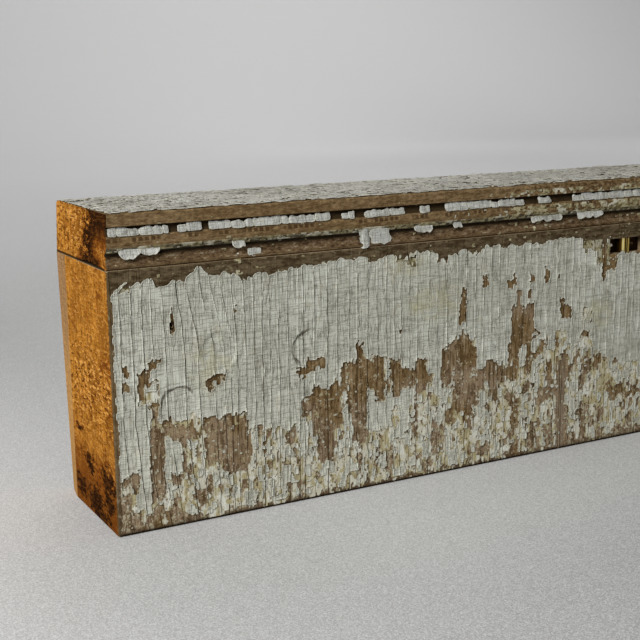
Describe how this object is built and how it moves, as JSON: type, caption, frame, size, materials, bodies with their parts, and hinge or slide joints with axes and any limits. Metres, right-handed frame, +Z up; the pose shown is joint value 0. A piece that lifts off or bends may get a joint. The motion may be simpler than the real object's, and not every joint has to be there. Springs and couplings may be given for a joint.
{
  "type": "salvaged painted wood trim",
  "caption": "Length of old painted frieze trim: a thick rectangular timber under a moulded cap strip, sawn off square, with a small brass fitting let into its face.",
  "frame": {"origin": "middle of the base, on the underside of the timber", "axes": "+X along the length, to the right as seen from the painted face; +Y through the thickness, from the painted face to the back; +Z up, to the cap's top"},
  "size_m": [0.9144, 0.0888, 0.175],
  "materials": {
    "moulding_wood": "old pine, weathered brown where bare, with worn grey-white oil paint on the top and in the grooves",
    "timber_wood": "old pine, weathered brown where bare and bright orange at the saw cuts, with peeling grey-white oil paint over a cream coat",
    "brass": "worn bright on the round of the barrel and on the pin heads, tarnished near black elsewhere"
  },
  "bodies": {
    "root": {"cap_moulding": "moulding_wood", "frieze_timber": "timber_wood", "brass_fitting": "brass", "round_head_pins": "brass"}
  },
  "joints": []
}
